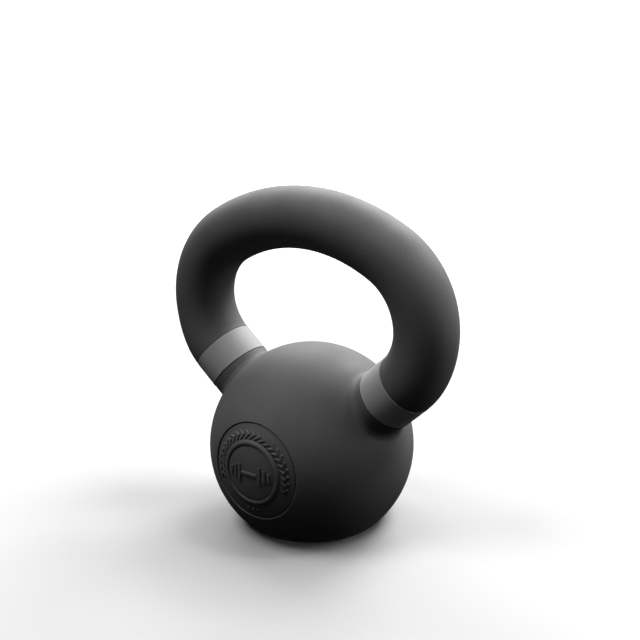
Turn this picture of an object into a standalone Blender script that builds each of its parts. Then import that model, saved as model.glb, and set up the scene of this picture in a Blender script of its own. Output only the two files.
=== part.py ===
"""Kettlebell, gravity cast in one pour, with a colour band round each horn and a two-piece front badge.

Metres, +Z up, front of the ball facing -Y, grip running along X. The rest face lies on z = 0, centred on
the origin.
"""

import math

import bmesh
import bpy
from mathutils import Vector

# Ball
BALL_RADIUS = 0.0585
REST_DROP = 0.0435  # ball centre down to the ground rest face
REST_CHAMFER = 0.0006

# Horns and grip: where the axis leaves the ball, how it leans and how it bends
HORN_ELEVATION = math.radians(35.3)  # of the point where the axis leaves the ball, above its equator
HORN_LEAN = math.radians(48.4)  # of the horn's axis, out from vertical
HORN_STRAIGHT = 0.0218  # straight length of the axis outside the ball
SIDE_RADIUS = 0.0272
SIDE_TURN = math.radians(15.4)
SHOULDER_RADIUS = 0.0449
SHOULDER_TURN = math.radians(92.6)

# Section of the iron: half width in the plane of the grip, and front to back
GRIP_HALF_WIDTH = 0.0172
GRIP_HALF_DEPTH = 0.0176
HORN_HALF_WIDTH = 0.0178
HORN_HALF_DEPTH = 0.0192
HORN_FILLET = 0.0030  # where the horn runs out onto the ball
SECTION_EASE = 0.030  # length above the band over which the horn's section becomes the grip's

# Colour bands
BAND_START = 0.0049  # ball surface to the band's lower edge, along the horn's axis
BAND_LENGTH = 0.0165
BAND_WALL = 0.0014
BAND_PROUD = 0.00015  # how far the band stands out of its seat
BAND_EDGE = 0.0004  # rounding of its outer corners

# Front badge
BADGE_ELEVATION = math.radians(2.0)
POCKET_RADIUS = 0.0270
BADGE_SUNK = 0.0007  # badge face below the ball's own surface
BADGE_WALL = 0.0020
DISC_RADIUS = 0.0158
DISC_SUNK = 0.0010
BEAD_WIDTH = 0.0026
BEAD_HEIGHT = 0.0007
MARK_COUNT = 23  # raised chevrons over the upper part of the ring
MARK_PITCH = math.radians(9.6)
STROKE_HEIGHT = 0.0007
STROKE_ROOT = 0.0004  # how far a raised stroke runs down into the badge
DASH_COUNT = 3  # short dashes at the foot of the ring
DASH_HALF = 0.0007

# Barbell emblem on the disc, in shares of its reach: bar, then (distance out, half height, width) of each plate
EMBLEM_MARGIN = 0.0019  # from the emblem's reach to the disc's rim
EMBLEM_BAR = (0.38, 0.15)  # half length and width
EMBLEM_PLATES = ((0.49, 0.36, 0.15), (0.71, 0.27, 0.15), (0.91, 0.17, 0.13))
EMBLEM_STEP = 0.0014

SEAT_GAP = 0.0003  # clearance between pieces that touch

# The marks keep their share of the flat of the ring, between its bead and its rim
BEAD_RADIUS = DISC_RADIUS + BEAD_WIDTH
RING_FLAT = POCKET_RADIUS - SEAT_GAP - BEAD_RADIUS
MARK_ORBIT = BEAD_RADIUS + 0.37 * RING_FLAT
MARK_REACH = 0.24 * RING_FLAT  # half the chevron's height, along the ring's radius
MARK_POINT = 0.60 * MARK_REACH  # half the chevron's width, round the ring
MARK_STROKE = 0.53 * MARK_REACH
EMBLEM_REACH = DISC_RADIUS - SEAT_GAP - EMBLEM_MARGIN

# Facets
BALL_STEPS = 64
BADGE_STEPS = 48
SECTION_SIDES = 32
CUT_PAST = 0.003  # how far a cutter reaches out of the surface that it cuts

CENTRE = Vector((0.0, 0.0, REST_DROP))


def clear_scene():
    for obj in list(bpy.data.objects):
        bpy.data.objects.remove(obj, do_unlink=True)


def new_collection(name):
    collection = bpy.data.collections.new(name)
    bpy.context.scene.collection.children.link(collection)
    return collection


def new_material(name, colour, roughness, metallic):
    material = bpy.data.materials.new(name)
    material.use_nodes = True
    shader = material.node_tree.nodes["Principled BSDF"]
    shader.inputs["Base Color"].default_value = (*colour, 1.0)
    shader.inputs["Roughness"].default_value = roughness
    shader.inputs["Metallic"].default_value = metallic
    return material


def new_object(name, bm, collection, material=None):
    bmesh.ops.recalc_face_normals(bm, faces=bm.faces)
    mesh = bpy.data.meshes.new(name)
    bm.to_mesh(mesh)
    bm.free()
    mesh.shade_smooth()
    mesh.set_sharp_from_angle(angle=math.radians(35))
    obj = bpy.data.objects.new(name, mesh)
    collection.objects.link(obj)
    if material:
        mesh.materials.append(material)
    return obj


def as_cutter(obj):
    obj.hide_render = True
    obj.display_type = "WIRE"
    return obj


def turned(name, profile, steps, collection, material=None):
    """A solid of revolution about Z, from (radius, height) points down its outer side, top to bottom."""
    bm = bmesh.new()
    points = [bm.verts.new((radius, 0.0, height)) for radius, height in profile]
    for start, end in zip(points, points[1:]):
        bm.edges.new((start, end))
    if min(profile[0][0], profile[-1][0]) > 0.0:
        bm.edges.new((points[-1], points[0]))
    mesh = bpy.data.meshes.new(name)
    bm.to_mesh(mesh)
    bm.free()
    obj = bpy.data.objects.new(name, mesh)
    collection.objects.link(obj)
    if material:
        mesh.materials.append(material)
    screw = obj.modifiers.new("Turn", "SCREW")
    screw.axis = "Z"
    screw.steps = steps
    screw.render_steps = steps
    screw.use_merge_vertices = True
    screw.merge_threshold = 0.00002
    screw.use_smooth_shade = True
    return obj


def boolean(obj, other, operation):
    modifier = obj.modifiers.new(other.name, "BOOLEAN")
    modifier.operation = operation
    modifier.solver = "EXACT"
    modifier.object = other
    return modifier


def sphere_arc(radius, low, high, count):
    """(radius, height) points on a sphere, from the angle low off the axis to the angle high."""
    angles = [low + (high - low) * step / count for step in range(count + 1)]
    return [(radius * math.sin(angle), radius * math.cos(angle)) for angle in angles]


# Axis of the right horn and half of the grip


def walk(x, z, heading, radius, turn):
    """The point and heading after an arc that bends inward; headings are measured out from vertical."""
    end = heading - turn
    return (
        x + radius * (math.cos(end) - math.cos(heading)),
        z + radius * (math.sin(heading) - math.sin(end)),
        end,
    )


def axis_point(distance):
    """(x, z, heading) on the grip's axis, at this distance from where it leaves the ball."""
    x = BALL_RADIUS * math.cos(HORN_ELEVATION)
    z = BALL_RADIUS * math.sin(HORN_ELEVATION)
    straight = min(distance, HORN_STRAIGHT)
    x += straight * math.sin(HORN_LEAN)
    z += straight * math.cos(HORN_LEAN)
    heading = HORN_LEAN
    left = distance - straight
    for radius, turn in ((SIDE_RADIUS, SIDE_TURN), (SHOULDER_RADIUS, SHOULDER_TURN)):
        part = min(left, radius * turn)
        if part > 0.0:
            x, z, heading = walk(x, z, heading, radius, part / radius)
            left -= part
    if left > 0.0:
        radius = x / math.cos(heading)
        x, z, heading = walk(x, z, heading, radius, min(left / radius, math.pi / 2 + heading))
    return x, z, heading


BENDS_END = HORN_STRAIGHT + SIDE_RADIUS * SIDE_TURN + SHOULDER_RADIUS * SHOULDER_TURN
CROWN_START = axis_point(BENDS_END)
CROWN_RADIUS = CROWN_START[0] / math.cos(CROWN_START[2])
HALF_LENGTH = BENDS_END + CROWN_RADIUS * (math.pi / 2 + CROWN_START[2])
BAND_END = BAND_START + BAND_LENGTH
EASE_END = BAND_END + SECTION_EASE


def section_size(distance):
    """Half width and half depth of the iron at this distance along the axis."""
    share = (distance - BAND_END) / (EASE_END - BAND_END)
    share = min(max(share, 0.0), 1.0)
    share = share * share * (3.0 - 2.0 * share)
    width = HORN_HALF_WIDTH + (GRIP_HALF_WIDTH - HORN_HALF_WIDTH) * share
    depth = HORN_HALF_DEPTH + (GRIP_HALF_DEPTH - HORN_HALF_DEPTH) * share
    return width, depth


def station(distance, grow=0.0):
    """(x, z, heading, half width, half depth) of the section at this distance, grown all round."""
    x, z, heading = axis_point(distance)
    width, depth = section_size(distance)
    return x, z, heading, width + grow, depth + grow


def root_stations():
    """Sections that run the horn out onto the ball, each lying on a sphere about the ball's centre."""
    width, depth = section_size(0.0)
    mean = (width + depth) / 2
    reach = BALL_RADIUS + HORN_FILLET
    rise = math.sqrt(reach**2 - (mean + HORN_FILLET) ** 2)
    toe = math.asin((mean + HORN_FILLET) / reach)
    lean_gap = math.atan2(*axis_point(0.0)[:2]) - HORN_LEAN
    found = []
    for share in (0.80, 0.6, 0.4, 0.2, 0.0):
        angle = (math.pi / 2 - toe) * share
        height = rise - HORN_FILLET * math.sin(angle)
        flare = HORN_FILLET * (1.0 - math.cos(angle))
        x, z, heading = axis_point(height - BALL_RADIUS)
        found.append((x, z, heading + lean_gap * share, width + flare, depth + flare))
    foot = found[0]
    inner = 0.72
    root = (foot[0] * inner, foot[1] * inner, foot[2], foot[3] * inner, foot[4] * inner)
    return [root] + found


def mirrored(sections):
    return [(-x, z, math.pi - heading, width, depth) for x, z, heading, width, depth in reversed(sections)]


def section_ring(bm, section, origin):
    x, z, heading, width, depth = section
    side = Vector((math.cos(heading), 0.0, -math.sin(heading)))
    middle = Vector((x, 0.0, z)) + CENTRE - origin
    ring = []
    for step in range(SECTION_SIDES):
        angle = 2 * math.pi * step / SECTION_SIDES
        offset = side * (width * math.cos(angle)) + Vector((0.0, depth * math.sin(angle), 0.0))
        ring.append(bm.verts.new(middle + offset))
    return ring


def bridge(bm, first, second):
    for step in range(len(first)):
        after = (step + 1) % len(first)
        bm.faces.new((first[step], first[after], second[after], second[step]))


def bar_loft(name, sections, collection):
    """A closed bar through unlike sections."""
    bm = bmesh.new()
    rings = [section_ring(bm, section, Vector()) for section in sections]
    for first, second in zip(rings, rings[1:]):
        bridge(bm, first, second)
    bm.faces.new(rings[0])
    bm.faces.new(rings[-1])
    return new_object(name, bm, collection)


def sleeve_loft(name, loops, origin, collection, material=None):
    """A closed sleeve: the loops run once round its wall, and the last meets the first."""
    bm = bmesh.new()
    rings = [section_ring(bm, section, origin) for section in loops]
    for first, second in zip(rings, rings[1:] + rings[:1]):
        bridge(bm, first, second)
    obj = new_object(name, bm, collection, material)
    obj.location = origin
    return obj


def band_loops(start, end, inner, outer, edge, side):
    """Loops of a sleeve round the horn: inner face up, then outer face down, with eased corners."""
    steps = 4
    marks = [start + (end - start) * step / steps for step in range(steps + 1)]
    loops = [station(mark, inner) for mark in marks]
    if edge > 0.0:
        marks = [end, end - edge] + marks[3:0:-1] + [start + edge, start]
        grows = [outer - edge, outer] + [outer] * 3 + [outer, outer - edge]
    else:
        marks = marks[::-1]
        grows = [outer] * len(marks)
    loops += [station(mark, grow) for mark, grow in zip(marks, grows)]
    return loops if side > 0 else [mirrored([section])[0] for section in loops]


# Badge


def on_badge_axis(height):
    """A point on the badge's axis, this far from the ball's centre."""
    direction = Vector((0.0, -math.cos(BADGE_ELEVATION), math.sin(BADGE_ELEVATION)))
    return CENTRE + direction * height


def face_forward(obj):
    """Turn a solid made about Z so that +Z looks out of the badge."""
    obj.location = on_badge_axis(0.0)
    obj.rotation_euler = (math.pi / 2 - BADGE_ELEVATION, 0.0, 0.0)


def stroke(bm, path, width, face):
    """A raised stroke along (x, y) points seen square to the badge, its top following the curved face."""
    ends = [Vector(point) for point in path]
    rings = []
    for place, point in enumerate(ends):
        before = (point - ends[place - 1]).normalized() if place else None
        after = (ends[place + 1] - point).normalized() if place + 1 < len(ends) else None
        along = (before + after).normalized() if before and after else before or after
        cross = Vector((-along.y, along.x))
        lean = cross.dot(Vector((-after.y, after.x))) if before and after else 1.0
        half = cross * (width / 2 / lean)
        ring = []
        for side, lift in ((1, -STROKE_ROOT), (1, STROKE_HEIGHT), (-1, STROKE_HEIGHT), (-1, -STROKE_ROOT)):
            at = point + half * side
            height = math.sqrt((face + lift) ** 2 - at.length_squared)
            ring.append(bm.verts.new((at.x, at.y, height)))
        rings.append(ring)
    for first, second in zip(rings, rings[1:]):
        bridge(bm, first, second)
    bm.faces.new(rings[0])
    bm.faces.new(rings[-1])


def straight_path(start, end, step):
    count = max(1, round(math.dist(start, end) / step))
    return [
        tuple(a + (b - a) * place / count for a, b in zip(start, end)) for place in range(count + 1)
    ]


def round_the_ring(path, turn):
    """Points given as (round the ring, out along it) about the marks' orbit, turned to their place."""
    found = []
    for across, out in path:
        x, y = MARK_ORBIT + out, -across
        found.append((x * math.cos(turn) - y * math.sin(turn), x * math.sin(turn) + y * math.cos(turn)))
    return found


def ring_strokes():
    """Chevrons that point clockwise over the top, and dashes at the foot."""
    chevron = [(-MARK_POINT, -MARK_REACH), (MARK_POINT, 0.0), (-MARK_POINT, MARK_REACH)]
    dash = [(-DASH_HALF, 0.0), (DASH_HALF, 0.0)]
    found = []
    for path, count, middle in ((chevron, MARK_COUNT, 90.0), (dash, DASH_COUNT, -90.0)):
        for place in range(count):
            turn = math.radians(middle) + MARK_PITCH * (place - (count - 1) / 2)
            found.append((round_the_ring(path, turn), MARK_STROKE))
    return found


def emblem_strokes():
    half, width = (share * EMBLEM_REACH for share in EMBLEM_BAR)
    found = [(straight_path((-half, 0.0), (half, 0.0), EMBLEM_STEP), width)]
    for plate in EMBLEM_PLATES:
        out, half, width = (share * EMBLEM_REACH for share in plate)
        for x in (-out, out):
            found.append((straight_path((x, -half), (x, half), EMBLEM_STEP), width))
    return found


def raised_strokes(name, strokes, face, collection):
    bm = bmesh.new()
    for path, width in strokes:
        stroke(bm, path, width, face)
    obj = as_cutter(new_object(name, bm, collection))
    face_forward(obj)
    return obj


def main():
    clear_scene()
    parts = new_collection("kettlebell")
    helpers = new_collection("kettlebell_cutters")
    iron = new_material("powder_coated_iron", (0.022, 0.022, 0.023), 0.55, 0.0)
    band_grey = new_material("band_grey", (0.16, 0.16, 0.16), 0.4, 0.0)
    badge_black = new_material("badge_black", (0.026, 0.026, 0.027), 0.5, 0.0)

    # Casting: the turned ball, joined to the horns and grip
    rest_angle = math.acos(-(REST_DROP - REST_CHAMFER) / BALL_RADIUS)
    profile = sphere_arc(BALL_RADIUS, 0.0, rest_angle, 26)
    rest_radius = profile[-1][0] - REST_CHAMFER
    profile += [(rest_radius, -REST_DROP), (0.0, -REST_DROP)]
    profile = [(radius, height + REST_DROP) for radius, height in profile]
    casting = turned("bell_casting", profile, BALL_STEPS, parts, iron)

    bends = 18
    arcs = [BENDS_END * step / bends for step in range(bends + 1)]
    marks = [mark for mark in arcs if mark > BAND_START] + [
        BENDS_END + (HALF_LENGTH - BENDS_END) * step / 5 for step in range(1, 6)
    ]
    right = root_stations() + [station(mark) for mark in marks]
    loop = mirrored(right[:-1])
    grip = bar_loft("horns_and_grip", right + loop, helpers)
    boolean(casting, as_cutter(grip), "UNION")

    # Colour bands and the seats turned for them
    seat = BAND_WALL - BAND_PROUD + SEAT_GAP
    for side, name in ((-1, "left"), (1, "right")):
        start, end = BAND_START - SEAT_GAP, BAND_END + SEAT_GAP
        loops = band_loops(start, end, -seat, CUT_PAST, 0.0, side)
        cutter = sleeve_loft("seat_" + name, loops, Vector(), helpers)
        boolean(casting, as_cutter(cutter), "DIFFERENCE")
        x, z, _ = axis_point((BAND_START + BAND_END) / 2)
        middle = Vector((side * x, 0.0, z)) + CENTRE
        loops = band_loops(BAND_START, BAND_END, SEAT_GAP - seat, BAND_PROUD, BAND_EDGE, side)
        sleeve_loft("band_" + name, loops, middle, parts, band_grey)

    # Pocket for the badge
    floor = BALL_RADIUS - BADGE_SUNK - BADGE_WALL - SEAT_GAP
    mouth = BALL_RADIUS + CUT_PAST
    floor_arc = sphere_arc(floor, 0.0, math.asin(POCKET_RADIUS / floor), 8)
    profile = [(0.0, mouth), (POCKET_RADIUS, mouth)] + floor_arc[::-1]
    pocket = as_cutter(turned("badge_pocket", profile, BADGE_STEPS, helpers))
    face_forward(pocket)
    boolean(casting, pocket, "DIFFERENCE")

    # Badge ring with its raised bead and marks
    back = floor + SEAT_GAP
    face = BALL_RADIUS - BADGE_SUNK
    rim = POCKET_RADIUS - SEAT_GAP
    crest = face + BEAD_HEIGHT
    bead_top = [(DISC_RADIUS + BEAD_WIDTH * share, BEAD_HEIGHT * lift) for share, lift in
                ((0.0, 0.55), (0.25, 0.95), (0.5, 1.0), (0.75, 0.75))]
    bead = [(radius, math.sqrt(face**2 - radius**2) + lift) for radius, lift in bead_top]
    outer = sphere_arc(face, math.asin(BEAD_RADIUS / face), math.asin(rim / face), 4)
    under = sphere_arc(back, math.asin(rim / back), math.asin(DISC_RADIUS / back), 5)
    ring = turned("badge_ring", bead + outer + under, BADGE_STEPS, parts, badge_black)
    face_forward(ring)
    boolean(ring, raised_strokes("ring_marks", ring_strokes(), face, helpers), "UNION")

    # Centre disc with a barbell emblem
    disc_face = BALL_RADIUS - DISC_SUNK
    edge = DISC_RADIUS - SEAT_GAP
    top = sphere_arc(disc_face, 0.0, math.asin(edge / disc_face), 6)
    under = sphere_arc(back, math.asin(edge / back), 0.0, 5)
    disc = turned("badge_disc", top + under, BADGE_STEPS, parts, badge_black)
    face_forward(disc)
    boolean(disc, raised_strokes("disc_emblem", emblem_strokes(), disc_face, helpers), "UNION")


main()
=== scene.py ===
"""Kettlebell: the finished pieces, their materials and the studio, built round the packed model.

Metres, +Z up, front of the ball facing -Y. Each operator makes one piece, or one group of like pieces, from
the sizes and colours in the scene's settings.
"""

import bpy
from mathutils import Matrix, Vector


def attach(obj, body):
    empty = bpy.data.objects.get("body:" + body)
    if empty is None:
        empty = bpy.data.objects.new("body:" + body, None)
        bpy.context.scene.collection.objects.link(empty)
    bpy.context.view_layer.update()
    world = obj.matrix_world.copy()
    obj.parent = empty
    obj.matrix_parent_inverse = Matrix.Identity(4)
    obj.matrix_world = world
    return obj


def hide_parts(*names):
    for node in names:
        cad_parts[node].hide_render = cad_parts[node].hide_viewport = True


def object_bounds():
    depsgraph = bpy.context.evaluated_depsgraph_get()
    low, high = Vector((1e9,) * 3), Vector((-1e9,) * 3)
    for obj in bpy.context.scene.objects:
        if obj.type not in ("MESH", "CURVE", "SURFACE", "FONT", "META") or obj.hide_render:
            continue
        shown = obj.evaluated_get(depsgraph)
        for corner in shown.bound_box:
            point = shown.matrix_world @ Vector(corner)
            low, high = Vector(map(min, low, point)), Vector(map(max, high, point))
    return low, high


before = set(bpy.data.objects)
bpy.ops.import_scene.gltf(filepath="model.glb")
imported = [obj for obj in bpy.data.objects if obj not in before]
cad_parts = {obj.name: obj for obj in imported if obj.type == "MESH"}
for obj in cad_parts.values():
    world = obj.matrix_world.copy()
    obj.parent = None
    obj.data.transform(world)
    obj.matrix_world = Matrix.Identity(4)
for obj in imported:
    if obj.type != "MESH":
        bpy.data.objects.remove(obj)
CAD_BOX = [list(corner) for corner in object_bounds()]

import math

import bmesh
import bpy
import numpy as np
from bpy.props import FloatProperty, FloatVectorProperty, IntProperty, PointerProperty
from bpy.types import Operator, Panel, PropertyGroup
from mathutils import Matrix, Vector

bl_info = {
    "name": "Kettlebell",
    "version": (1, 0, 0),
    "blender": (4, 5, 0),
    "location": "View3D > Sidebar > Kettlebell",
    "description": "Builds a powder-coated cast iron kettlebell with horn bands and a front badge",
    "category": "Add Mesh",
}

# Softboxes: name, azimuth round the bell and elevation in degrees, and power in watts
SOFTBOXES = (
    ("high_right", 90, 62, 15),
    ("high_back", 135, 62, 72),
    ("high_front", 315, 62, 52),
    ("back", 180, 38, 70),
    ("back_left", 210, 38, 30),
    ("left", 240, 38, 42),
    ("low_right", 75, 15, 6),
    ("low_back", 135, 15, 24),
    ("low_front", 315, 15, 6),
)
MM = 0.001
ON_SURFACE = 0.004 * MM  # a point this near the casting's curved skin lies on it

# Chevrons: orbit and reach in shares of the ring's flat, then point and stroke in shares of that reach
MARK_ORBIT, MARK_REACH = 0.37, 0.24
MARK_POINT, MARK_STROKE = 0.60, 0.53
DASH_HALF = 0.7 * MM  # half the length of a dash at the ring's foot

# Barbell emblem in shares of its reach: bar, then (distance out, half height, width) of each plate
EMBLEM_BAR = (0.38, 0.15)  # half length and width
EMBLEM_PLATES = ((0.49, 0.36, 0.15), (0.71, 0.27, 0.15), (0.91, 0.17, 0.13))
EMBLEM_STEP = 0.7 * MM  # spacing of the points along a straight stroke
STROKE_ROOT = 0.4 * MM  # how far a raised stroke runs down into the badge
STROKE_DRAFT = 0.10 * MM  # how much wider a stroke is at its foot, on each side
STROKE_EASE = 0.16 * MM  # rounding of a stroke's upper edges


def linear(hex_colour):
    """Linear red, green and blue of an sRGB hex colour."""
    found = []
    for place in (0, 2, 4):
        level = int(hex_colour[place : place + 2], 16) / 255
        found.append(level / 12.92 if level <= 0.04045 else ((level + 0.055) / 1.055) ** 2.4)
    return tuple(found)


def length(name, description, default):
    return FloatProperty(
        name=name, description=description, default=default, min=0.0, subtype="DISTANCE", unit="LENGTH"
    )


def angle(name, description, degrees):
    return FloatProperty(
        name=name, description=description, default=math.radians(degrees), subtype="ANGLE", unit="ROTATION"
    )


def colour(name, description, hex_colour):
    return FloatVectorProperty(
        name=name, description=description, default=linear(hex_colour), min=0.0, max=1.0, subtype="COLOR"
    )


def share(name, description, default):
    return FloatProperty(
        name=name, description=description, default=default, min=0.0, max=1.0, subtype="FACTOR"
    )


class CastingSizes(PropertyGroup):
    """Sizes of the iron casting: ball, horns and grip."""

    ball_radius: length("Ball radius", "Radius of the cast ball", 0.0585)
    rest_drop: length("Rest drop", "From the ball's centre down to the flat rest face", 0.0435)
    rest_edge: length("Rest edge", "Rounding where the ball meets its rest face", 0.0008)
    horn_elevation: angle("Horn elevation", "Where the horn's axis leaves the ball, above its equator", 35.3)
    horn_lean: angle("Horn lean", "Lean of the horn's axis, out from vertical", 48.4)
    horn_straight: length("Horn straight", "Straight length of the axis outside the ball", 0.0218)
    side_radius: length("Side bend", "Bend radius of the axis above the band", 0.0272)
    side_turn: angle("Side turn", "How far the side bend turns", 15.4)
    shoulder_radius: length("Shoulder bend", "Bend radius of the axis at the shoulder", 0.0449)
    shoulder_turn: angle("Shoulder turn", "How far the shoulder bend turns", 92.6)
    grip_half_width: length("Grip half width", "Half the iron's width in the plane of the grip", 0.0172)
    grip_half_depth: length("Grip half depth", "Half the iron's depth, front to back, at the grip", 0.0176)
    horn_half_width: length("Horn half width", "Half the iron's width at the band", 0.0178)
    horn_half_depth: length("Horn half depth", "Half the iron's depth, front to back, at the band", 0.0192)
    ease_length: length("Ease length", "Length over which the horn's section eases into the grip's", 0.030)
    fillet: length("Horn fillet", "Radius where the horn runs out onto the ball", 0.0030)
    facet: length("Facet size", "Spacing of the points on the casting's skin", 0.0009)


class BandSizes(PropertyGroup):
    """Sizes of the colour band round each horn."""

    start: length("Band start", "Ball surface to the band's lower edge, along the horn's axis", 0.0049)
    width: length("Band width", "Width of the band along the horn", 0.0165)
    wall: length("Band wall", "Thickness of the band", 0.0014)
    proud: length("Band proud", "How far the band's face stands out of its seat", 0.00015)
    corner: length("Band corner", "Rounding of the band's outer corners", 0.00035)
    lip_width: length("Lip width", "Width of the raised lip along each edge", 0.0009)
    lip_height: length("Lip height", "Height of the lip over the band's face", 0.00004)
    gap: length("Seat gap", "Clearance between the band and its seat", 0.0003)


class BadgeSizes(PropertyGroup):
    """Sizes of the two-piece badge on the front of the ball."""

    elevation: angle("Badge elevation", "Height of the badge's axis above the ball's equator", 2.0)
    pocket_radius: length("Pocket radius", "Radius of the pocket cast for the badge", 0.0270)
    sunk: length("Ring sunk", "Ring face below the ball's own surface", 0.0007)
    wall: length("Badge wall", "Thickness of the badge", 0.0020)
    disc_radius: length("Disc radius", "Radius of the hole for the centre disc", 0.0158)
    disc_sunk: length("Disc sunk", "Disc face below the ball's own surface", 0.0010)
    bead_width: length("Bead width", "Width of the raised bead round the disc", 0.0026)
    bead_height: length("Bead height", "Height of the bead over the ring's face", 0.0007)
    edge: length("Badge edge", "Rounding of the badge's and its pocket's edges", 0.0005)
    mark_count: IntProperty(name="Chevrons", description="Chevrons over the ring's top", default=23, min=1)
    mark_pitch: angle("Chevron pitch", "Turn from one chevron to the next", 9.6)
    dash_count: IntProperty(name="Dashes", description="Short dashes at the ring's foot", default=3, min=1)
    stroke_height: length("Stroke height", "Height of every raised stroke", 0.0007)
    emblem_margin: length("Emblem margin", "From the emblem's reach to the disc's rim", 0.0019)
    gap: length("Seat gap", "Clearance round the ring and round the disc", 0.0003)


class Finishes(PropertyGroup):
    """Colours and gloss of the coatings."""

    coat: colour("Powder coat", "Black powder coat on the iron", "202021")
    coat_worn: colour("Powder coat, rubbed", "The same coat where hands have polished it", "282829")
    coat_roughness: share("Powder coat roughness", "Micro roughness of the coat", 0.77)
    band: colour("Band", "Moulded band", "595959")
    band_pale: colour("Band, pale flow", "Paler flow in the moulded band", "656565")
    band_roughness: share("Band roughness", "Micro roughness of the band", 0.72)
    badge: colour("Badge", "Black coat on the badge", "202021")
    badge_roughness: share("Badge roughness", "Micro roughness of the badge's coat", 0.76)
    floor: colour("Floor", "Floor, which the strong lights leave just white", "7E7E7E")


class StudioSizes(PropertyGroup):
    """Camera and floor."""

    azimuth: angle("Camera azimuth", "Camera round the bell, from the badge's side", 36.09)
    elevation: angle("Camera elevation", "Camera above the horizon", 16.19)
    roll: angle("Camera roll", "Camera turned about its own axis", -1.53)
    distance: length("Camera distance", "Camera to the ball's centre, along its axis", 0.62526)
    aim_right: FloatProperty(name="Aim right", description="Aim to the right of the ball", default=0.00465)
    aim_up: FloatProperty(name="Aim up", description="Aim above the ball's centre", default=0.07064)
    focal: FloatProperty(name="Focal length", description="Lens in mm on a 36 mm sensor", default=60.96)
    floor_radius: length("Floor radius", "Radius of the floor", 4.0)
    glow_start: length("Glow start", "Where the floor starts to be lit from below", 0.45)
    glow_full: length("Glow full", "Where the floor is lit to full white", 1.1)
    glow_strength: FloatProperty(name="Glow strength", description="Light from below, at full", default=1.1)
    back_strength: FloatProperty(name="Background", description="White behind everything", default=1.05)
    light_distance: length("Light distance", "Every softbox to the ball's centre", 2.0)
    light_size: length("Light size", "Diameter of every softbox", 1.0)


# Grip axis: the right half, with the ball's centre at the origin and headings measured out from vertical


def axis_runs(sizes):
    """(start distance, x, z, heading, bend radius, length) of each run; a straight has radius 0."""
    x = sizes.ball_radius * math.cos(sizes.horn_elevation)
    z = sizes.ball_radius * math.sin(sizes.horn_elevation)
    heading = sizes.horn_lean
    runs = [(0.0, x, z, heading, 0.0, sizes.horn_straight)]
    x += sizes.horn_straight * math.sin(heading)
    z += sizes.horn_straight * math.cos(heading)
    along = sizes.horn_straight
    for radius, turn in ((sizes.side_radius, sizes.side_turn), (sizes.shoulder_radius, sizes.shoulder_turn)):
        runs.append((along, x, z, heading, radius, radius * turn))
        x += radius * (math.cos(heading - turn) - math.cos(heading))
        z += radius * (math.sin(heading) - math.sin(heading - turn))
        heading -= turn
        along += radius * turn
    radius = x / math.cos(heading)
    runs.append((along, x, z, heading, radius, radius * (math.pi / 2 + heading)))
    return runs


def axis_point(runs, along):
    """(x, z, heading) on the axis at this distance from where it leaves the ball."""
    for start, x, z, heading, radius, run in runs:
        if along <= start + run or (start, x) == runs[-1][:2]:
            break
    step = along - start
    if radius == 0.0:
        return x + step * math.sin(heading), z + step * math.cos(heading), heading
    end = heading - step / radius
    return (
        x + radius * (math.cos(end) - math.cos(heading)),
        z + radius * (math.sin(heading) - math.sin(end)),
        end,
    )


def nearest_on_axis(runs, points, root):
    """For each point: distance along the axis, and offset from it in the plane of the grip.

    The straight run is taken on into the ball by the length root, and both halves share one axis.
    """
    x, z = np.abs(points[:, 0]), points[:, 2]
    best = np.full(len(points), np.inf)
    along, out = np.zeros(len(points)), np.zeros(len(points))
    for start, run_x, run_z, heading, radius, run in runs:
        if radius == 0.0:
            step = (x - run_x) * math.sin(heading) + (z - run_z) * math.cos(heading)
            step = np.clip(step, -root, run)
            head = np.full(len(points), heading)
            on_x, on_z = run_x + step * math.sin(heading), run_z + step * math.cos(heading)
        else:
            centre_x, centre_z = run_x - radius * math.cos(heading), run_z + radius * math.sin(heading)
            swing = heading - np.arctan2(centre_z - z, x - centre_x)
            step = np.clip(swing * radius, 0.0, run)
            head = heading - step / radius
            on_x, on_z = centre_x + radius * np.cos(head), centre_z - radius * np.sin(head)
        gap = np.hypot(x - on_x, z - on_z)
        signed = (x - on_x) * np.cos(head) - (z - on_z) * np.sin(head)
        nearer = gap < best
        best = np.where(nearer, gap, best)
        along = np.where(nearer, start + step, along)
        out = np.where(nearer, np.where(signed < 0.0, -gap, gap), out)
    return along, out


def section_size(sizes, band, along):
    """Half width and half depth of the iron at this distance along the axis."""
    part = np.clip((along - band.start - band.width) / sizes.ease_length, 0.0, 1.0)
    part = part * part * (3.0 - 2.0 * part)
    width = sizes.horn_half_width + (sizes.grip_half_width - sizes.horn_half_width) * part
    depth = sizes.horn_half_depth + (sizes.grip_half_depth - sizes.horn_half_depth) * part
    return width, depth


# Casting skin, as a signed distance that is 0 on the iron's surface


def joined(first, second, radius):
    """Union of two signed distances, with a round fillet."""
    bite = np.hypot(np.maximum(radius - first, 0.0), np.maximum(radius - second, 0.0))
    return np.maximum(radius, np.minimum(first, second)) - bite


def skin_distance(sizes, band, runs, points):
    """Signed distance from points, measured from the ball's centre, to the casting's skin."""
    ball = np.linalg.norm(points, axis=1) - sizes.ball_radius
    along, out = nearest_on_axis(runs, points, sizes.ball_radius * 0.8)
    width, depth = section_size(sizes, band, along)
    scaled = np.hypot(out / width, points[:, 1] / depth)
    slope = np.hypot(out / width**2, points[:, 1] / depth**2)
    grip = scaled * (scaled - 1.0) / np.maximum(slope, 1e-6)
    body = joined(ball, grip, sizes.fillet)
    below = -sizes.rest_drop - points[:, 2]
    return -joined(-body, -below, sizes.rest_edge)


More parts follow.
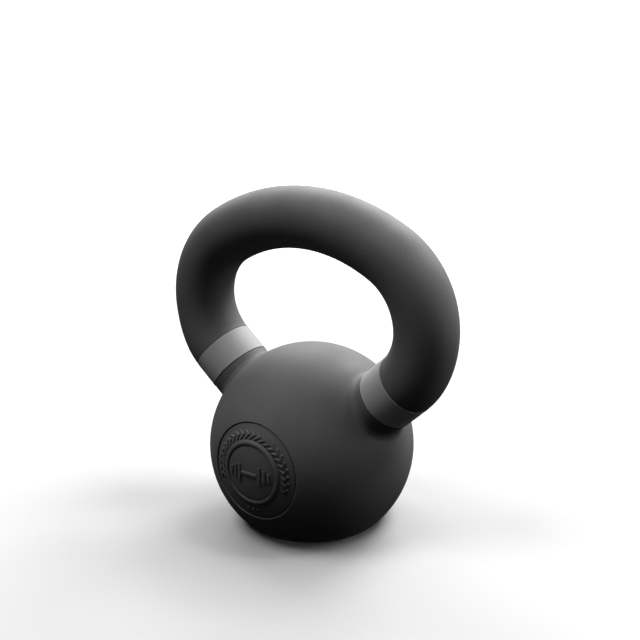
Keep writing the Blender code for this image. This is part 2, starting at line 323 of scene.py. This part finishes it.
def skin_slope(sizes, band, runs, points, step=2e-6):
    """Gradient of the signed distance, by central differences."""
    slope = np.empty_like(points)
    for axis in range(3):
        shift = np.zeros(3)
        shift[axis] = step
        ahead = skin_distance(sizes, band, runs, points + shift)
        behind = skin_distance(sizes, band, runs, points - shift)
        slope[:, axis] = (ahead - behind) / (2 * step)
    return slope


def settle_on_skin(sizes, band, runs, points):
    """Move points onto the casting's skin, along its gradient."""
    for _ in range(8):
        slope = skin_slope(sizes, band, runs, points)
        distance = skin_distance(sizes, band, runs, points)
        square = np.maximum((slope**2).sum(axis=1), 0.05)
        points = points - slope * (distance / square)[:, None]
    return points


# Mesh helpers


def ball_centre(sizes):
    """The ball's centre in the frame, over the rest face."""
    return Vector((0.0, 0.0, sizes.rest_drop))


def new_piece(name, mesh, material=None):
    """A new object in the scene's own collection, replacing one of the same name."""
    old = bpy.data.objects.get(name)
    if old is not None:
        bpy.data.objects.remove(old, do_unlink=True)
    obj = bpy.data.objects.new(name, mesh)
    bpy.context.scene.collection.objects.link(obj)
    if material is not None:
        mesh.materials.clear()
        mesh.materials.append(material)
    return obj


def mesh_from(name, bm, sharp=35.0):
    """A smooth-shaded mesh, with edges left crisp where faces turn by more than sharp degrees."""
    bmesh.ops.recalc_face_normals(bm, faces=bm.faces)
    mesh = bpy.data.meshes.new(name)
    bm.to_mesh(mesh)
    bm.free()
    mesh.shade_smooth()
    mesh.set_sharp_from_angle(angle=math.radians(sharp))
    return mesh


def evaluated_mesh(obj, name):
    """The object's mesh with its modifiers applied; the object itself is removed."""
    graph = bpy.context.evaluated_depsgraph_get()
    mesh = bpy.data.meshes.new_from_object(obj.evaluated_get(graph))
    mesh.name = name
    bpy.data.objects.remove(obj, do_unlink=True)
    return mesh


def combined(base, tools, operation):
    """The base mesh with each tool mesh cut from it or joined to it."""
    body = bpy.data.objects.new("work_body", base)
    bpy.context.scene.collection.objects.link(body)
    helpers = []
    for place, tool in enumerate(tools):
        helper = bpy.data.objects.new(f"work_tool_{place}", tool)
        bpy.context.scene.collection.objects.link(helper)
        helper.hide_render = True
        modifier = body.modifiers.new(helper.name, "BOOLEAN")
        modifier.operation = operation
        modifier.solver = "EXACT"
        modifier.object = helper
        helpers.append(helper)
    bpy.context.view_layer.update()
    mesh = evaluated_mesh(body, base.name)
    for helper in helpers:
        bpy.data.objects.remove(helper, do_unlink=True)
    return mesh


def bridge(bm, first, second):
    """Join two rings of equal count with a band of faces."""
    for place in range(len(first)):
        after = (place + 1) % len(first)
        bm.faces.new((first[place], first[after], second[after], second[place]))


def section_ring(bm, middle, heading, width, depth, sides):
    """A closed oval ring square to the grip's axis."""
    side = Vector((math.cos(heading), 0.0, -math.sin(heading)))
    ring = []
    for step in range(sides):
        turn = 2 * math.pi * step / sides
        offset = side * (width * math.cos(turn)) + Vector((0.0, depth * math.sin(turn), 0.0))
        ring.append(bm.verts.new(middle + offset))
    return ring


def horn_ring(bm, sizes, band, runs, along, grow, mirror, sides):
    """The horn's section at this distance along the axis, grown all round."""
    x, z, heading = axis_point(runs, along)
    width, depth = section_size(sizes, band, along)
    if mirror:
        x, heading = -x, math.pi - heading
    middle = Vector((x, 0.0, z)) + ball_centre(sizes)
    return section_ring(bm, middle, heading, float(width) + grow, float(depth) + grow, sides)


def sleeve(name, sizes, band, runs, loops, mirror, sides):
    """A closed sleeve round the horn, from (distance along, growth) points that run once round its wall."""
    bm = bmesh.new()
    rings = [horn_ring(bm, sizes, band, runs, along, grow, mirror, sides) for along, grow in loops]
    for first, second in zip(rings, rings[1:] + rings[:1]):
        bridge(bm, first, second)
    return mesh_from(name, bm, 50.0)


def turned(name, profile, steps, sharp=35.0):
    """A solid of revolution about Z from (radius, height) points; a closed wall unless it meets the axis."""
    bm = bmesh.new()
    rings = []
    for radius, height in profile:
        if radius < 1e-7:
            rings.append([bm.verts.new((0.0, 0.0, height))])
            continue
        turns = [2 * math.pi * step / steps for step in range(steps)]
        rings.append([bm.verts.new((radius * math.cos(t), radius * math.sin(t), height)) for t in turns])
    pairs = list(zip(rings, rings[1:]))
    if len(rings[0]) > 1 and len(rings[-1]) > 1:
        pairs.append((rings[-1], rings[0]))
    for first, second in pairs:
        if len(first) == 1 or len(second) == 1:
            tip, ring = (first[0], second) if len(first) == 1 else (second[0], first)
            for place in range(len(ring)):
                bm.faces.new((tip, ring[place], ring[(place + 1) % len(ring)]))
        else:
            bridge(bm, first, second)
    return mesh_from(name, bm, sharp)


def sphere_arc(radius, low, high, count):
    """(radius, height) points on a sphere, between two distances from its axis."""
    angles = np.linspace(math.asin(low / radius), math.asin(high / radius), count + 1)
    return [(radius * math.sin(t), radius * math.cos(t)) for t in angles]


def eased_rim(face, rim, radius):
    """(radius, height) points that round a curved face over into its upright rim."""
    slope = math.asin(rim / face)
    middle = rim - radius
    start = middle + radius * math.sin(slope)
    height = math.sqrt(face**2 - start**2) - radius * math.cos(slope)
    turns = np.linspace(math.pi / 2 - slope, 0.0, 7)
    return [(middle + radius * math.cos(t), height + radius * math.sin(t)) for t in turns]


def badge_matrix(sizes, badge):
    """Turns a solid made about Z so that +Z looks out of the badge, and moves it to the ball's centre."""
    turn = Matrix.Rotation(math.pi / 2 - badge.elevation, 4, "X")
    return Matrix.Translation(ball_centre(sizes)) @ turn


# Casting


def rough_casting(sizes, band, runs):
    """Ball and grip as overlapping closed shells, skinned over with even facets."""
    bm = bmesh.new()
    bmesh.ops.create_uvsphere(bm, u_segments=96, v_segments=64, radius=sizes.ball_radius)
    for vert in bm.verts:
        vert.co.z = max(vert.co.z, -sizes.rest_drop)
    bmesh.ops.translate(bm, verts=bm.verts, vec=ball_centre(sizes))
    half_length, sides = runs[-1][0] + runs[-1][5], 48
    marks = np.linspace(-0.5 * sizes.ball_radius, half_length, 90)
    rings = [horn_ring(bm, sizes, band, runs, along, 0.0, False, sides) for along in marks]
    rings += [horn_ring(bm, sizes, band, runs, along, 0.0, True, sides) for along in marks[-2::-1]]
    for first, second in zip(rings, rings[1:]):
        bridge(bm, first, second)
    bm.faces.new(rings[0])
    bm.faces.new(rings[-1])
    obj = bpy.data.objects.new("work_casting", mesh_from("casting", bm))
    bpy.context.scene.collection.objects.link(obj)
    remesh = obj.modifiers.new("Skin", "REMESH")
    remesh.mode = "VOXEL"
    remesh.voxel_size = sizes.facet * 1.0
    bpy.context.view_layer.update()
    return evaluated_mesh(obj, "casting")


def read_points(mesh):
    """The mesh's points as rows of x, y and z."""
    points = np.empty(len(mesh.vertices) * 3)
    mesh.vertices.foreach_get("co", points)
    return points.reshape(-1, 3)


def smooth_casting_normals(mesh, sizes, band, runs):
    """Shade the curved skin from its exact slope, and leave the turned seats and the pocket crisp."""
    points = read_points(mesh) - np.array(ball_centre(sizes))
    slope = skin_slope(sizes, band, runs, points)
    slope /= np.maximum(np.linalg.norm(slope, axis=1), 1e-9)[:, None]
    on_skin = np.abs(skin_distance(sizes, band, runs, points)) < ON_SURFACE
    mesh.shade_smooth()
    mesh.set_sharp_from_angle(angle=math.radians(30))
    normals = np.empty(len(mesh.loops) * 3)
    mesh.corner_normals.foreach_get("vector", normals)
    normals = normals.reshape(-1, 3)
    corner = np.empty(len(mesh.loops), dtype=np.int32)
    mesh.loops.foreach_get("vertex_index", corner)
    starts = np.empty(len(mesh.polygons), dtype=np.int32)
    counts = np.empty(len(mesh.polygons), dtype=np.int32)
    faces = np.empty(len(mesh.polygons) * 3)
    mesh.polygons.foreach_get("loop_start", starts)
    mesh.polygons.foreach_get("loop_total", counts)
    mesh.polygons.foreach_get("normal", faces)
    owner = np.repeat(np.arange(len(counts)), counts)
    whole = np.minimum.reduceat(on_skin[corner].astype(int), starts).astype(bool)
    facing = (faces.reshape(-1, 3)[owner] * slope[corner]).sum(axis=1) > 0.5
    skin = whole[owner] & facing
    normals[skin] = slope[corner[skin]]
    mesh.normals_split_custom_set(normals)


def seat_tool(sizes, band, runs, mirror):
    """The sleeve that turns a band's seat into the horn."""
    depth, past = band.wall - band.proud + band.gap, 3 * MM
    low, high = band.start - band.gap, band.start + band.width + band.gap
    marks = np.linspace(low, high, 9)
    loops = [(mark, -depth) for mark in marks] + [(mark, past) for mark in marks[::-1]]
    return sleeve("seat", sizes, band, runs, loops, mirror, 128)


def pocket_tool(sizes, badge):
    """The turned solid that sinks the badge's pocket into the ball, with a rounded mouth."""
    floor = sizes.ball_radius - badge.sunk - badge.wall - badge.gap
    top = sizes.ball_radius + 2 * MM
    rim = badge.pocket_radius
    slope = math.asin(rim / sizes.ball_radius)
    out = rim + badge.edge * (1 + math.sin(slope))
    rise = math.sqrt(sizes.ball_radius**2 - out**2)
    low = rise - badge.edge * math.cos(slope)
    turns = np.linspace(math.pi / 2 + slope, 0.0, 9)
    clear = out + 1 * MM
    profile = [(0.0, top), (clear, top), (clear, rise + 0.6 * MM)]
    profile += [(rim + badge.edge * (1 - math.cos(t)), low + badge.edge * math.sin(t)) for t in turns]
    profile += sphere_arc(floor, 0.0, rim, 16)[::-1]
    mesh = turned("pocket", profile, 192)
    mesh.transform(badge_matrix(sizes, badge))
    return mesh


def build_casting(sizes, band, badge, material):
    """Skin the rough shells, settle them on the exact shape, then cut the seats and the pocket."""
    runs = axis_runs(sizes)
    mesh = rough_casting(sizes, band, runs)
    centre = np.array(ball_centre(sizes))
    points = settle_on_skin(sizes, band, runs, read_points(mesh) - centre) + centre
    points = np.clip(points, *CAD_BOX)
    mesh.vertices.foreach_set("co", points.ravel())
    mesh.update()
    tools = [seat_tool(sizes, band, runs, mirror) for mirror in (False, True)]
    mesh = combined(mesh, tools + [pocket_tool(sizes, badge)], "DIFFERENCE")
    smooth_casting_normals(mesh, sizes, band, runs)
    return new_piece("bell", mesh, material)


# Bands


def band_loops(band):
    """Once round the band's wall: inner face, rounded corners, and a low lip along each edge."""
    inner, face = band.proud - band.wall, band.proud
    crest, lip_foot = face + band.lip_height, 1.5 * band.lip_width
    low, high = band.start, band.start + band.width
    turns = [math.pi / 2 * step / 4 for step in range(5)]
    rounding = [(band.corner * (1 - math.cos(t)), crest - band.corner * (1 - math.sin(t))) for t in turns]
    loops = [(along, inner) for along in np.linspace(low, high, 9)]
    loops += [(high - back, grow) for back, grow in rounding]
    loops += [(high - band.lip_width, crest), (high - lip_foot, face)]
    loops += [(along, face) for along in np.linspace(high, low, 9)[1:-1]]
    loops += [(low + lip_foot, face), (low + band.lip_width, crest)]
    loops += [(low + back, grow) for back, grow in rounding[::-1]]
    return loops


def build_band(name, mirror, sizes, band, material):
    """One band, in its seat on the right horn or, mirrored, on the left."""
    mesh = sleeve(name, sizes, band, axis_runs(sizes), band_loops(band), mirror, 160)
    return new_piece(name, mesh, material)


# Badge


def stroke(bm, path, width, height, face):
    """A raised stroke with drafted, eased sides along (x, y) points; its top follows the curved face."""
    half, ease = width / 2, STROKE_EASE
    shape = [(half + STROKE_DRAFT, -STROKE_ROOT), (half + STROKE_DRAFT * 0.5, 0.25 * height)]
    shape += [(half, height - ease), (half - ease * 0.35, height - ease * 0.35), (half - ease, height)]
    shape += [(-across, lift) for across, lift in shape[::-1]]
    points = [Vector(point) for point in path]
    rings = []
    for place, point in enumerate(points):
        before = (point - points[place - 1]).normalized() if place else None
        after = (points[place + 1] - point).normalized() if place + 1 < len(points) else None
        along = (before + after).normalized() if before and after else before or after
        cross = Vector((-along.y, along.x))
        mitre = cross.dot(Vector((-after.y, after.x))) if before and after else 1.0
        ring = []
        for across, lift in shape:
            at = point + cross * (across / mitre)
            ring.append(bm.verts.new((at.x, at.y, math.sqrt((face + lift) ** 2 - at.length_squared))))
        rings.append(ring)
    for first, second in zip(rings, rings[1:]):
        bridge(bm, first, second)
    bm.faces.new(rings[0])
    bm.faces.new(rings[-1])


def raised(name, strokes, height, face):
    """All of a piece's raised strokes in one mesh."""
    bm = bmesh.new()
    for path, width in strokes:
        stroke(bm, path, width, height, face)
    return mesh_from(name, bm)


def straight_path(start, end):
    """Points from start to end, close enough together to follow the badge's curve."""
    count = max(1, round(math.dist(start, end) / EMBLEM_STEP))
    return [tuple(a + (b - a) * place / count for a, b in zip(start, end)) for place in range(count + 1)]


def ring_strokes(badge):
    """Chevrons that point clockwise over the ring's upper part, and dashes at its foot."""
    bead_radius = badge.disc_radius + badge.bead_width
    flat = badge.pocket_radius - badge.gap - bead_radius
    orbit, reach = bead_radius + MARK_ORBIT * flat, MARK_REACH * flat
    point = MARK_POINT * reach
    chevron = [(-point, -reach), (point, 0.0), (-point, reach)]
    dash = [(-DASH_HALF, 0.0), (DASH_HALF, 0.0)]
    found = []
    for path, count, middle in ((chevron, badge.mark_count, 90.0), (dash, badge.dash_count, -90.0)):
        for place in range(count):
            turn = math.radians(middle) + badge.mark_pitch * (place - (count - 1) / 2)
            out, across = Vector((math.cos(turn), math.sin(turn))), Vector((math.sin(turn), -math.cos(turn)))
            found.append(([tuple(out * (orbit + y) + across * x) for x, y in path], MARK_STROKE * reach))
    return found


def emblem_strokes(badge):
    """A barbell: its bar, and plates of falling height at each end."""
    reach = badge.disc_radius - badge.gap - badge.emblem_margin
    half, width = (share_of * reach for share_of in EMBLEM_BAR)
    found = [(straight_path((-half, 0.0), (half, 0.0)), width)]
    for plate in EMBLEM_PLATES:
        out, half, width = (share_of * reach for share_of in plate)
        for x in (-out, out):
            found.append((straight_path((x, -half), (x, half)), width))
    return found


def build_badge_ring(sizes, badge, material):
    """The curved ring, with its bead, chevrons and dashes."""
    face = sizes.ball_radius - badge.sunk
    back = face - badge.wall
    rim = badge.pocket_radius - badge.gap
    bead_radius = badge.disc_radius + badge.bead_width
    rim_round = eased_rim(face, rim, badge.edge)
    profile = []
    for step in range(13):
        turn = math.pi * step / 12
        radius = badge.disc_radius + badge.bead_width / 2 * (1 - math.cos(turn))
        profile.append((radius, math.sqrt(face**2 - radius**2) + badge.bead_height * math.sin(turn) ** 0.8))
    profile += sphere_arc(face, bead_radius + 0.1 * MM, rim_round[0][0], 14)[:-1] + rim_round
    profile += sphere_arc(back, badge.disc_radius, rim, 8)[::-1]
    mesh = turned("badge_rim", profile, 240)
    mesh = combined(mesh, [raised("ring_strokes", ring_strokes(badge), badge.stroke_height, face)], "UNION")
    mesh.transform(badge_matrix(sizes, badge))
    mesh.set_sharp_from_angle(angle=math.radians(32))
    return new_piece("badge_rim", mesh, material)


def build_badge_disc(sizes, badge, material):
    """The sunk disc, with its barbell."""
    face = sizes.ball_radius - badge.disc_sunk
    back = sizes.ball_radius - badge.sunk - badge.wall
    rim = badge.disc_radius - badge.gap
    rim_round = eased_rim(face, rim, badge.edge / 2)
    profile = sphere_arc(face, 0.0, rim_round[0][0], 18)[:-1] + rim_round
    profile += sphere_arc(back, 0.0, rim, 8)[::-1]
    mesh = turned("badge_face", profile, 192)
    mesh = combined(mesh, [raised("disc_strokes", emblem_strokes(badge), badge.stroke_height, face)], "UNION")
    mesh.transform(badge_matrix(sizes, badge))
    mesh.set_sharp_from_angle(angle=math.radians(32))
    return new_piece("badge_face", mesh, material)


# Materials


def add_node(tree, kind, place, settings=None, links=None):
    """Add a node, set its properties and inputs by name, and link inputs to other nodes' outputs."""
    node = tree.nodes.new(kind)
    node.location = place
    for key, value in (settings or {}).items():
        if isinstance(key, int) or key in node.inputs:
            node.inputs[key].default_value = value
        else:
            setattr(node, key, value)
    for key, source in (links or {}).items():
        tree.links.new(source, node.inputs[key])
    return node


def new_material(name):
    """An empty node material, replacing one of the same name."""
    old = bpy.data.materials.get(name)
    if old is not None:
        bpy.data.materials.remove(old)
    material = bpy.data.materials.new(name)
    material.use_nodes = True
    material.node_tree.nodes.clear()
    return material


def finish_material(material, bsdf):
    """Wire the shader to the material's output."""
    tree = material.node_tree
    add_node(tree, "ShaderNodeOutputMaterial", (900, 0), links={"Surface": bsdf.outputs["BSDF"]})
    return material


def powder_coat(name, base, rubbed, roughness, grain):
    """Polyester powder coat, sprayed and baked on cast iron.

    The baked powder leaves a fine orange peel about 1.2 mm across, over a grit of 0.4 mm, which breaks up
    the sheen. Broad faint patches are a little smoother and paler.
    """
    material = new_material(name)
    tree = material.node_tree
    where = add_node(tree, "ShaderNodeTexCoord", (-900, 0)).outputs["Object"]
    patches = add_node(
        tree, "ShaderNodeTexNoise", (-680, 300), {"Scale": 1 / (22 * MM), "Detail": 3.0}, {"Vector": where}
    )
    peel = add_node(
        tree, "ShaderNodeTexNoise", (-680, 0), {"Scale": 1 / (1.2 * MM), "Detail": 1.0}, {"Vector": where}
    )
    grit = add_node(
        tree, "ShaderNodeTexNoise", (-680, -300), {"Scale": 1 / (0.4 * MM), "Detail": 2.0}, {"Vector": where}
    )
    tone = add_node(tree, "ShaderNodeMix", (-380, 300), {"data_type": "RGBA"})
    tone.inputs[6].default_value = (*base, 1.0)
    tone.inputs[7].default_value = (*rubbed, 1.0)
    tree.links.new(patches.outputs["Fac"], tone.inputs[0])
    dull = add_node(
        tree,
        "ShaderNodeMapRange",
        (-380, 60),
        {"From Min": 0.3, "From Max": 0.7, "To Min": roughness + 0.03, "To Max": roughness - 0.03},
        {"Value": patches.outputs["Fac"]},
    )
    small = add_node(
        tree,
        "ShaderNodeBump",
        (-380, -300),
        {"Strength": 0.35, "Distance": 0.03 * MM * grain},
        {"Height": grit.outputs["Fac"]},
    )
    bump = add_node(
        tree,
        "ShaderNodeBump",
        (-120, -200),
        {"Strength": 0.6, "Distance": 0.10 * MM * grain},
        {"Height": peel.outputs["Fac"], "Normal": small.outputs["Normal"]},
    )
    bsdf = add_node(
        tree,
        "ShaderNodeBsdfPrincipled",
        (200, 0),
        {"Metallic": 0.0, "IOR": 1.5},
        {
            "Base Color": tone.outputs[2],
            "Roughness": dull.outputs["Result"],
            "Normal": bump.outputs["Normal"],
        },
    )
    return finish_material(material, bsdf)


def moulded_band(finishes):
    """Polyurethane, moulded in a satin tool: a faint matt grain of 0.5 mm, and slow pale flow marks."""
    material = new_material("polyurethane_moulded")
    tree = material.node_tree
    where = add_node(tree, "ShaderNodeTexCoord", (-900, 0)).outputs["Object"]
    flow = add_node(
        tree, "ShaderNodeTexNoise", (-680, 300), {"Scale": 1 / (14 * MM), "Detail": 2.0}, {"Vector": where}
    )
    grain = add_node(
        tree, "ShaderNodeTexNoise", (-680, -200), {"Scale": 1 / (0.5 * MM), "Detail": 1.0}, {"Vector": where}
    )
    tone = add_node(tree, "ShaderNodeMix", (-380, 300), {"data_type": "RGBA"})
    tone.inputs[6].default_value = (*finishes.band, 1.0)
    tone.inputs[7].default_value = (*finishes.band_pale, 1.0)
    tree.links.new(flow.outputs["Fac"], tone.inputs[0])
    bump = add_node(
        tree,
        "ShaderNodeBump",
        (-120, -200),
        {"Strength": 0.3, "Distance": 0.03 * MM},
        {"Height": grain.outputs["Fac"]},
    )
    bsdf = add_node(
        tree,
        "ShaderNodeBsdfPrincipled",
        (200, 0),
        {"Metallic": 0.0, "IOR": 1.5, "Roughness": finishes.band_roughness},
        {"Base Color": tone.outputs[2], "Normal": bump.outputs["Normal"]},
    )
    return finish_material(material, bsdf)


# Studio


def area_light(name, azimuth, elevation, distance, size, power, target):
    """A round softbox aimed at the bell; azimuth and elevation are in degrees, as for the camera."""
    light = bpy.data.lights.new(name, "AREA")
    light.shape = "DISK"
    light.size = size
    light.energy = power
    turn, rise = math.radians(azimuth), math.radians(elevation)
    out = Vector((math.sin(turn) * math.cos(rise), -math.cos(turn) * math.cos(rise), math.sin(rise)))
    obj = bpy.data.objects.new(name, light)
    bpy.context.scene.collection.objects.link(obj)
    obj.location = target + out * distance
    obj.rotation_euler = out.to_track_quat("Z", "Y").to_euler()
    obj.visible_camera = False
    return obj


def build_floor(studio, finishes):
    """A frosted acrylic disc, dead matt. Far from the bell it is lit from below, and fades to white."""
    bm = bmesh.new()
    rings = []
    for radius in (0.3, 1.0, studio.floor_radius):
        turns = [2 * math.pi * step / 96 for step in range(96)]
        rings.append([bm.verts.new((radius * math.cos(t), radius * math.sin(t), 0.0)) for t in turns])
    for first, second in zip(rings, rings[1:]):
        bridge(bm, first, second)
    bm.faces.new(rings[0])
    mesh = mesh_from("floor", bm)
    material = new_material("acrylic_sheet_frosted")
    tree = material.node_tree
    where = add_node(tree, "ShaderNodeTexCoord", (-700, 0)).outputs["Object"]
    out = add_node(tree, "ShaderNodeVectorMath", (-500, 0), {"operation": "LENGTH"}, {0: where})
    glow = add_node(
        tree,
        "ShaderNodeMapRange",
        (-250, 0),
        {
            "interpolation_type": "SMOOTHSTEP",
            "From Min": studio.glow_start,
            "From Max": studio.glow_full,
            "To Min": 0.0,
            "To Max": studio.glow_strength,
        },
        {"Value": out.outputs["Value"]},
    )
    bsdf = add_node(
        tree,
        "ShaderNodeBsdfPrincipled",
        (200, 0),
        {
            "Base Color": (*finishes.floor, 1.0),
            "Roughness": 0.9,
            "Specular IOR Level": 0.0,
            "Emission Color": (1.0, 1.0, 1.0, 1.0),
        },
        {"Emission Strength": glow.outputs["Result"]},
    )
    finish_material(material, bsdf)
    floor = new_piece("floor", mesh, material)
    floor.visible_diffuse = False
    floor.visible_glossy = False
    return floor


def build_world(studio):
    """Plain white behind everything; the softboxes alone light the bell."""
    world = bpy.data.worlds.new("studio")
    bpy.context.scene.world = world
    world.use_nodes = True
    tree = world.node_tree
    tree.nodes.clear()
    back = add_node(
        tree,
        "ShaderNodeBackground",
        (-200, 0),
        {"Color": (1.0, 1.0, 1.0, 1.0), "Strength": studio.back_strength},
    )
    add_node(tree, "ShaderNodeOutputWorld", (60, 0), links={"Surface": back.outputs["Background"]})
    world.cycles_visibility.diffuse = False
    world.cycles_visibility.glossy = False


def build_camera(sizes, studio):
    """The camera, aimed a little above and to the side of the ball."""
    turn, rise = studio.azimuth, studio.elevation
    back = Vector((math.sin(turn) * math.cos(rise), -math.cos(turn) * math.cos(rise), math.sin(rise)))
    right = Vector((math.cos(turn), math.sin(turn), 0.0))
    up = back.cross(right)
    cosine, sine = math.cos(studio.roll), math.sin(studio.roll)
    right, up = right * cosine + up * sine, up * cosine - right * sine
    camera = bpy.data.cameras.new("camera")
    camera.lens = studio.focal
    camera.sensor_width = 36.0
    camera.clip_end = 200.0
    obj = bpy.data.objects.new("camera", camera)
    bpy.context.scene.collection.objects.link(obj)
    turn_matrix = Matrix((right, up, back)).transposed().to_4x4()
    target = ball_centre(sizes) + right * studio.aim_right + up * studio.aim_up
    obj.matrix_world = Matrix.Translation(target + back * studio.distance) @ turn_matrix
    bpy.context.scene.camera = obj
    return obj


# Operators


class KETTLEBELL_OT_casting(Operator):
    """Build the iron casting: ball, horns and grip in one piece"""

    bl_idname = "kettlebell.casting"
    bl_label = "Casting"

    def execute(self, context):
        scene = context.scene
        finishes = scene.kettlebell_finishes
        sizes, band, badge = scene.kettlebell_casting, scene.kettlebell_band, scene.kettlebell_badge
        material = powder_coat(
            "powder_coat_baked", finishes.coat, finishes.coat_worn, finishes.coat_roughness, 1.0
        )
        bell = build_casting(sizes, band, badge, material)
        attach(bell, "root")
        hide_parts("bell_casting")
        return {"FINISHED"}


class KETTLEBELL_OT_bands(Operator):
    """Build the colour band round each horn"""

    bl_idname = "kettlebell.bands"
    bl_label = "Horn bands"

    def execute(self, context):
        scene = context.scene
        material = moulded_band(scene.kettlebell_finishes)
        for side, mirror in (("left", True), ("right", False)):
            band = build_band(
                "horn_band_" + side, mirror, scene.kettlebell_casting, scene.kettlebell_band, material
            )
            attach(band, "root")
            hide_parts("band_" + side)
        return {"FINISHED"}


class KETTLEBELL_OT_badge(Operator):
    """Build the front badge: ring with its bead and marks, and centre disc with the emblem"""

    bl_idname = "kettlebell.badge"
    bl_label = "Badge"

    def execute(self, context):
        scene = context.scene
        finishes = scene.kettlebell_finishes
        sizes, badge = scene.kettlebell_casting, scene.kettlebell_badge
        material = powder_coat(
            "powder_coat_fine", finishes.badge, finishes.coat_worn, finishes.badge_roughness, 0.5
        )
        ring = build_badge_ring(sizes, badge, material)
        disc = build_badge_disc(sizes, badge, material)
        for piece, node in ((ring, "badge_ring"), (disc, "badge_disc")):
            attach(piece, "root")
            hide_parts(node)
        return {"FINISHED"}


class KETTLEBELL_OT_studio(Operator):
    """Set up the floor, the lights and the camera"""

    bl_idname = "kettlebell.studio"
    bl_label = "Studio"

    def execute(self, context):
        scene = context.scene
        sizes = scene.kettlebell_casting
        studio = scene.kettlebell_studio
        build_floor(studio, scene.kettlebell_finishes)
        build_world(studio)
        target = ball_centre(sizes)
        for name, azimuth, elevation, power in SOFTBOXES:
            area_light(
                "softbox_" + name, azimuth, elevation, studio.light_distance, studio.light_size, power, target
            )
        build_camera(sizes, studio)
        scene.view_settings.view_transform = "Standard"
        return {"FINISHED"}


class KETTLEBELL_PT_build(Panel):
    """Sizes, colours and build steps"""

    bl_idname = "KETTLEBELL_PT_build"
    bl_label = "Kettlebell"
    bl_space_type = "VIEW_3D"
    bl_region_type = "UI"
    bl_category = "Kettlebell"

    def draw(self, context):
        layout = self.layout
        for operator in OPERATORS:
            layout.operator(operator.bl_idname)
        for attribute, group in SETTINGS.items():
            box = layout.box()
            box.label(text=group.__doc__)
            for name in group.__annotations__:
                box.prop(getattr(context.scene, attribute), name)


SETTINGS = {
    "kettlebell_casting": CastingSizes,
    "kettlebell_band": BandSizes,
    "kettlebell_badge": BadgeSizes,
    "kettlebell_finishes": Finishes,
    "kettlebell_studio": StudioSizes,
}
OPERATORS = (KETTLEBELL_OT_casting, KETTLEBELL_OT_bands, KETTLEBELL_OT_badge, KETTLEBELL_OT_studio)
CLASSES = (*SETTINGS.values(), *OPERATORS, KETTLEBELL_PT_build)


def register():
    for cls in CLASSES:
        bpy.utils.register_class(cls)
    for attribute, group in SETTINGS.items():
        setattr(bpy.types.Scene, attribute, PointerProperty(type=group))


def unregister():
    for attribute in SETTINGS:
        delattr(bpy.types.Scene, attribute)
    for cls in reversed(CLASSES):
        bpy.utils.unregister_class(cls)


def main():
    register()
    bpy.ops.kettlebell.casting()
    bpy.ops.kettlebell.bands()
    bpy.ops.kettlebell.badge()
    bpy.ops.kettlebell.studio()


if __name__ == "__main__":
    main()
